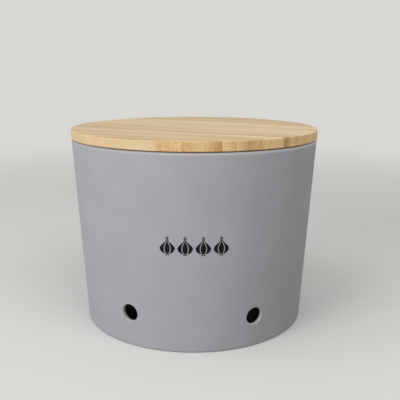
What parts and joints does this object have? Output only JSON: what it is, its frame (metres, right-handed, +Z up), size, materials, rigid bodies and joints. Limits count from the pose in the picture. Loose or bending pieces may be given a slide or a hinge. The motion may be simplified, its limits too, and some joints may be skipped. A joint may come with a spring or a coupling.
{
  "type": "onion keeper",
  "caption": "Round, slightly tapered onion keeper with air vents low in its wall and a flat laminated bamboo lid with a sealing ring that lifts off.",
  "frame": {"origin": "middle of the foot, on the surface that the pot stands on", "axes": "+Z up along the axis of the pot, which is the way the lid lifts; -Y faces the front, about midway between two air vents; +X to the right seen from the front"},
  "size_m": [0.2, 0.2, 0.1568],
  "materials": {
    "pot_body": "matt moulded grey",
    "bamboo": "sanded and lightly oiled",
    "silicone": "satin, milky white"
  },
  "bodies": {
    "pot": {"pot": "pot_body"},
    "lid": {"lid_stave_01": "bamboo", "lid_stave_02": "bamboo", "lid_stave_03": "bamboo", "lid_stave_04": "bamboo", "lid_stave_05": "bamboo", "lid_stave_06": "bamboo", "lid_stave_07": "bamboo", "lid_stave_08": "bamboo", "lid_stave_09": "bamboo", "lid_stave_10": "bamboo", "lid_stave_11": "bamboo", "lid_stave_12": "bamboo", "lid_stave_13": "bamboo", "lid_stave_14": "bamboo", "lid_stave_15": "bamboo", "lid_stave_16": "bamboo", "lid_stave_17": "bamboo", "lid_stave_18": "bamboo", "lid_stave_19": "bamboo", "lid_stave_20": "bamboo", "lid_stave_21": "bamboo", "lid_stave_22": "bamboo", "lid_stave_23": "bamboo", "lid_stave_24": "bamboo", "lid_stave_25": "bamboo", "lid_stave_26": "bamboo", "lid_stave_27": "bamboo", "lid_stave_28": "bamboo", "lid_stave_29": "bamboo", "lid_stave_30": "bamboo", "lid_stave_31": "bamboo", "lid_stave_32": "bamboo", "seal_ring": "silicone"}
  },
  "joints": [
    {"name": "lid_lift", "type": "slide", "parent": "pot", "child": "lid", "axis": [0, 0, 1], "range_m": [0, 0.12]}
  ]
}
